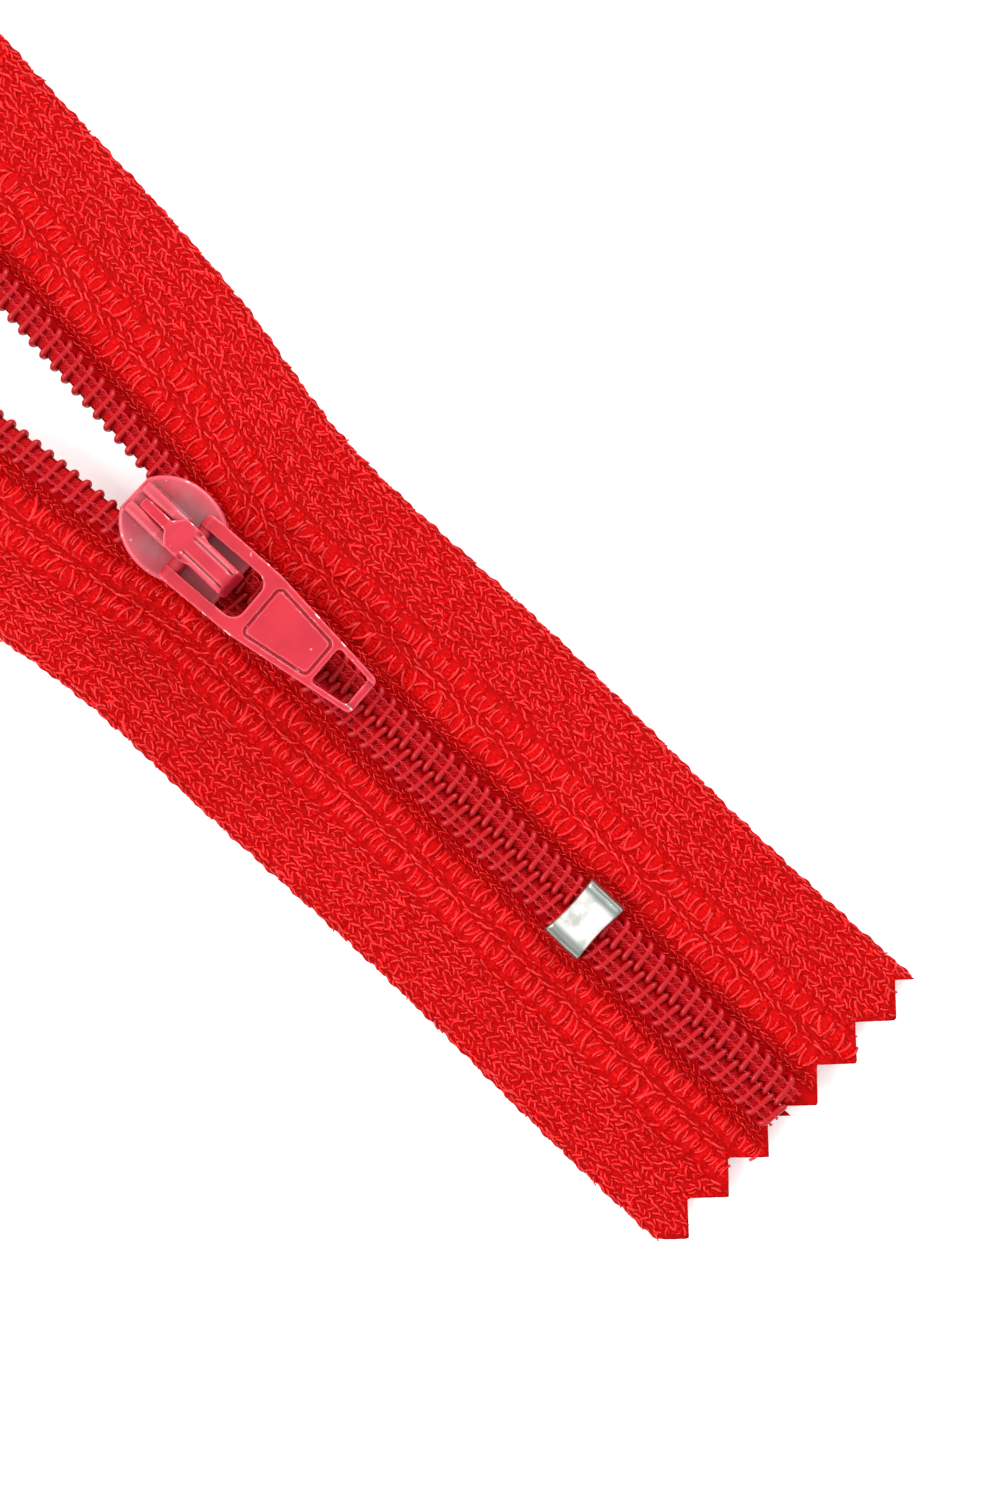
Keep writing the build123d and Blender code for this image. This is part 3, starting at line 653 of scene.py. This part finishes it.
sewing = Finish("polyester_thread", Specular_IOR_Level=0.3)
ply = sewing.add("ShaderNodeTexWave", {"bands_direction": "DIAGONAL"}, {
    "Vector": sewing.coordinates((1, 1, 1)), "Scale": 5.0,
})
sewing.colour(sewing.mix(ply, (0.44, 0.0, 0.004), (0.62, 0.005, 0.018)))
sewing.roughness(0.42 - ply * 0.12)
sewing.bump(ply, 0.02)

for name, side in SIDES.items():
    for row, across in stitch_rows.items():
        threads = runs.grow(
            f"{name}_{row}_stitching", line_mesh(f"{name}_{row}_lines", stitch_lines(side, across)),
            Width=thread, Height=thread * thread_flatness, Sides=6, Material=sewing.material,
        )
        nodes = [f"{name}_{row}_stitching_{stretch}" for stretch in ("lower", "upper")]
        follow_opening(threads, name, *nodes)


# ---- Stops ---------------------------------------------------------------------------------
# Clips of polished nickel silver: one crimped round both coils at the bottom, and a small
# one closed on each tape's edge at the top.
def softened(node, name, voxel, passes, formed=None):
    """Copy of a CAD piece with its edges rounded as tumbling and lacquer round them."""
    mesh = frame["nodes"][node].data.copy()
    mesh.transform(Matrix.Scale(1 / MM, 4))
    shape = bpy.data.objects.new(f"{name}_rough", mesh)
    scene.collection.objects.link(shape)
    weld = shape.modifiers.new("weld", "WELD")
    weld.merge_threshold = 1e-4
    remesh = shape.modifiers.new("remesh", "REMESH")
    remesh.mode, remesh.voxel_size = "VOXEL", voxel
    relax = shape.modifiers.new("relax", "SMOOTH")
    relax.factor, relax.iterations = 0.5, passes
    bpy.context.view_layer.update()
    done = shape.evaluated_get(bpy.context.evaluated_depsgraph_get())
    smooth_mesh = bpy.data.meshes.new_from_object(done)
    bpy.data.objects.remove(shape)
    count = len(smooth_mesh.vertices)
    points = np.empty(count * 3, np.float32)
    smooth_mesh.vertices.foreach_get("co", points)
    points = points.reshape(-1, 3)
    if formed:
        points = formed(points)
        smooth_mesh.vertices.foreach_set("co", points.astype(np.float32).ravel())
        smooth_mesh.update()
    edges = np.empty(len(smooth_mesh.edges) * 2, np.int32)
    smooth_mesh.edges.foreach_get("vertices", edges)
    ends = edges.reshape(-1, 2)
    degree = np.bincount(edges, minlength=count)[:, None]
    blurred = points.astype(np.float64)
    for _ in range(8):
        total = np.zeros_like(blurred)
        for a, b in ((0, 1), (1, 0)):
            for axis in range(3):
                total[:, axis] += np.bincount(ends[:, a], blurred[ends[:, b], axis], count)
        blurred = total / degree
    normals = np.empty(count * 3, np.float32)
    smooth_mesh.vertices.foreach_get("normal", normals)
    outward = ((points - blurred) * normals.reshape(-1, 3)).sum(axis=-1)
    # The edge attribute is high on convex edges and low in creases; the lacquers turn it into painted
    # rim highlights, painted crease shade and bare chips.
    edge = smooth_mesh.attributes.new("edge", "FLOAT", "POINT")
    edge.data.foreach_set("value", np.clip(0.5 + outward / 0.10, 0, 1).astype(np.float32))
    smooth_mesh.transform(Matrix.Scale(MM, 4))
    smooth_mesh.shade_smooth()
    smooth_mesh.materials.clear()
    piece = bpy.data.objects.new(name, smooth_mesh)
    scene.collection.objects.link(piece)
    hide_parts(node)
    return piece


def waisted(points):
    """The clip is drawn in along its middle, as crimping leaves it."""
    across = np.clip(np.abs(points[:, 0]) / 2.45, 0, 1)
    middle = stop_y / MM
    narrowed = 1 - 0.13 * (1 - across ** 2)
    points = points.copy()
    points[:, 1] = middle + (points[:, 1] - middle) * narrowed
    return points


nickel = Finish("polished_nickel_silver", Metallic=0.92)
haze = nickel.noise(nickel.coordinates((0.8, 0.8, 0.8)), 1.0, 3.0)
scratches = nickel.noise(nickel.coordinates((12, 0.7, 3)), 1.0, 1.0)
face = nickel.mix(haze.between(0.35, 0.55), (0.62, 0.64, 0.58), (0.96, 0.96, 0.93))
aside = nickel.add("ShaderNodeSeparateXYZ", {}, {0: nickel.coordinates((1, 1, 1))})
# Painted reflection: the clip's sloping sides are coloured dark grey, as if they mirrored a darker
# surround.
painted_dark_side_reflection = aside.maths("ABSOLUTE").between(1.25, 1.75)
nickel.colour(nickel.mix(painted_dark_side_reflection, face, (0.30, 0.33, 0.30)))
nickel.roughness(0.14 + haze * 0.10 + scratches * 0.06)
nickel.bump(scratches * 0.5 + haze * 0.5, 0.03)

for node, body in (
    ("bottom_stop", "chain"),
    ("left_top_stop", "left_stringer"),
    ("right_top_stop", "right_stringer"),
):
    clip = softened(node, f"{node}_clip", 0.05, 8, waisted if node == "bottom_stop" else None)
    clip.data.materials.append(nickel.material)
    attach(clip, body)


# ---- Slider ----------------------------------------------------------------------------------
# Die-cast zinc body under a thin pink-red lacquer, which has run thin to grey metal on the
# wings beside the crown. The stamped crown and the cast pull wear it redder, and the lock
# strip under the crown is bent from bare spring steel.
def lacquer(name, deep, light, rim, thin_spots):
    paint = Finish(name, Coat_Weight=0.25, Coat_Roughness=0.15, Specular_IOR_Level=0.38)
    flow = paint.noise(paint.coordinates((0.45, 0.45, 0.45)), 1.0, 3.0)
    tone = paint.mix(flow.between(0.3, 0.7), deep, light)
    edge = paint.add("ShaderNodeAttribute", {"attribute_name": "edge"}, output="Fac")
    # Painted highlight: convex rims and edges are coloured a lighter pink.
    tone = paint.mix(edge.between(0.53, 0.80) * 0.8, tone, rim)
    # Painted shade: creases and hollows are coloured a near-black red.
    tone = paint.mix((1 - edge.between(0.22, 0.47)) * 0.85, tone, (0.16, 0.0, 0.003))
    dust = paint.noise(paint.coordinates((2.6, 2.6, 2.6)), 1.0, 1.0).between(0.74, 0.80)
    tone = paint.mix(dust * 0.6, tone, (0.80, 0.36, 0.40))
    chips = paint.noise(paint.coordinates((1.1, 1.1, 1.1)), 1.0, 3.0).between(0.62, 0.68)
    bare = chips * edge.between(0.70, 0.86)
    if thin_spots:
        place = paint.add("ShaderNodeSeparateXYZ", {}, {0: paint.coordinates((1, 1, 1))})
        beside = paint.add("ShaderNodeSeparateXYZ", {}, {0: paint.coordinates((1, 1, 1))}, "Y")
        aside = place.maths("ABSOLUTE")
        near = aside.between(1.0, 1.4) * (1 - aside.between(1.8, 3.1))
        along = (beside - (slider_low.y / MM + 5.2)).maths("ABSOLUTE")
        worn = near * (1 - along.between(0.5, 2.6)) * flow.between(0.30, 0.58)
        tone = paint.mix(worn * 0.7, tone, (0.26, 0.13, 0.14))
    paint.colour(paint.mix(bare, tone, (0.75, 0.70, 0.68)))
    paint.feed(paint.shader.inputs["Metallic"], bare * 0.8)
    paint.roughness(0.32 + flow * 0.14)
    paint.bump(paint.noise(paint.coordinates((1.3, 1.3, 1.3)), 1.0, 3.0), 0.05, 0.5)
    return paint.material


def rolled(points):
    """Behind its hexagon the crown keeps a flat middle strip between two rolled flanges."""
    points = points.copy()
    x, y, z = np.abs(points[:, 0]), points[:, 1] - slider_low.y / MM, points[:, 2]
    behind = smooth((4.1 - y) / 0.5) * smooth((y - 0.1) / 0.3)
    crown_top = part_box("crown_cap")[1].z / MM
    upper = smooth((z - crown_top + 0.9) / 0.6)
    crease = 0.13 * np.exp(-(((x - 0.60) / 0.08) ** 2))
    roll = 0.30 * smooth((x - 0.66) / 0.5)
    points[:, 2] = z - (crease + roll) * behind * upper
    return points


blade_pink, hex_red, pull_red = (0.50, 0.060, 0.085), (0.52, 0.016, 0.040), (0.53, 0.010, 0.028)
painted_rim_highlight = (0.66, 0.07, 0.10)
body_paint = lacquer("thin_pink_lacquer", (0.40, 0.035, 0.055), blade_pink, painted_rim_highlight, True)
crown_paint = lacquer("crown_lacquer", (0.44, 0.008, 0.026), hex_red, painted_rim_highlight, False)
pull_paint = lacquer("pull_lacquer", (0.46, 0.006, 0.022), pull_red, painted_rim_highlight, False)
spring = Finish("spring_steel", Metallic=1.0, Roughness=0.3)
grain = spring.noise(spring.coordinates((1, 9, 1)), 1.0)
spring.colour(spring.mix(grain, (0.45, 0.45, 0.46), (0.62, 0.62, 0.62)))
spring.bump(grain, 0.01)

for node, name, body, voxel, finish, slot_name, formed in (
    ("slider_body", "slider_casting", "slider", 0.07, body_paint, "slider_paint", None),
    ("crown_cap", "crown", "slider", 0.06, crown_paint, "crown_paint", rolled),
    ("lock_spring", "lock_strip", "lock", 0.05, spring.material, "spring_steel", None),
    ("pull_tab", "pull", "pull", 0.06, pull_paint, "pull_paint", None),
):
    piece = softened(node, name, voxel, 4, formed)
    piece.data.materials.append(finish)
    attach(piece, body)
